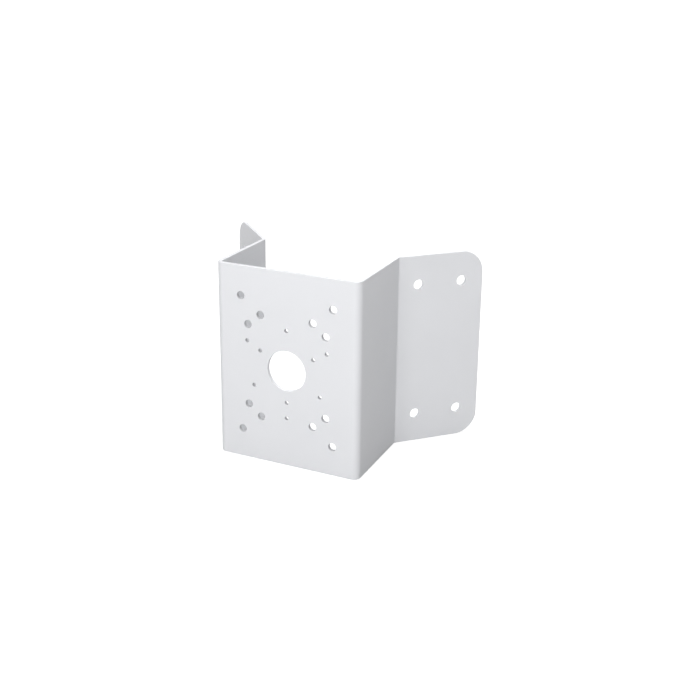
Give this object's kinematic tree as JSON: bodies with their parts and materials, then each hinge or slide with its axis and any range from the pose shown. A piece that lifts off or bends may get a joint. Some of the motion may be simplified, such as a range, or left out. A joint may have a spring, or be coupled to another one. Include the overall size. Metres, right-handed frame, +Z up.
{
  "type": "camera corner mount bracket",
  "caption": "Folded sheet bracket that holds a security camera square to an outside corner of a building, with a punched front plate and angled wall flanges.",
  "frame": {"origin": "centre of the cable hole on the outer face of the front plate", "axes": "+X along the front plate, +Y from the plate back towards the building corner, +Z up"},
  "size_m": [0.2406, 0.1363, 0.17],
  "materials": {
    "powder_coat": "satin light grey-white polyester powder coat on steel"
  },
  "bodies": {
    "root": {"corner_bracket": "powder_coat"}
  },
  "joints": []
}
